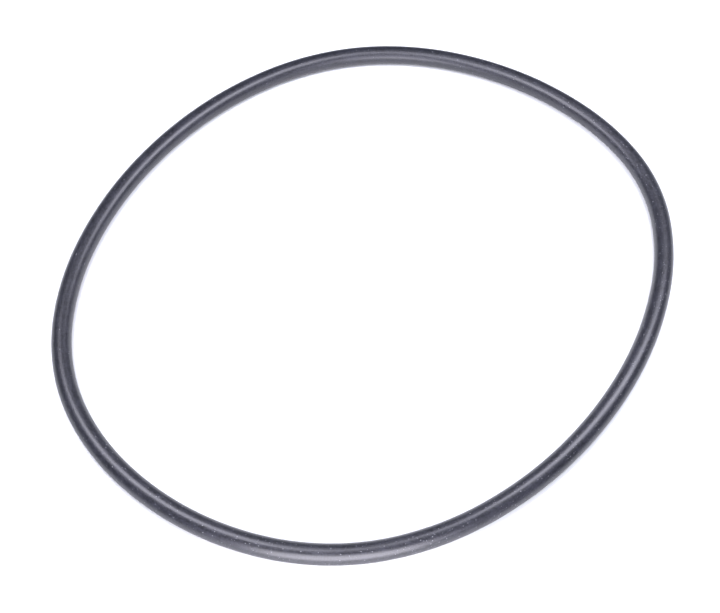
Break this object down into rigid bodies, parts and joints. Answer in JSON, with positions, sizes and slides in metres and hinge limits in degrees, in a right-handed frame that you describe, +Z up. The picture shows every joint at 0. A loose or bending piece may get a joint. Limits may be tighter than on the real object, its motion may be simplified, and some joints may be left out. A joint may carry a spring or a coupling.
{
  "type": "rubber o-ring",
  "caption": "Large rubber sealing ring of round cord, one moulded piece, lying loose and slightly out of round; it seals a joint when squeezed in a groove.",
  "frame": {"origin": "on the surface the ring lies on, under the middle of the loop's overall width and depth", "axes": "+Z up through the loop, +X to the right and +Y away as seen from the front"},
  "size_m": [0.1128, 0.1122, 0.0035],
  "materials": {
    "nitrile_rubber": "satin moulded black rubber with a faint blue cast, fine lengthwise streaks and a few dust specks"
  },
  "bodies": {
    "root": {"o_ring": "nitrile_rubber"}
  },
  "joints": []
}
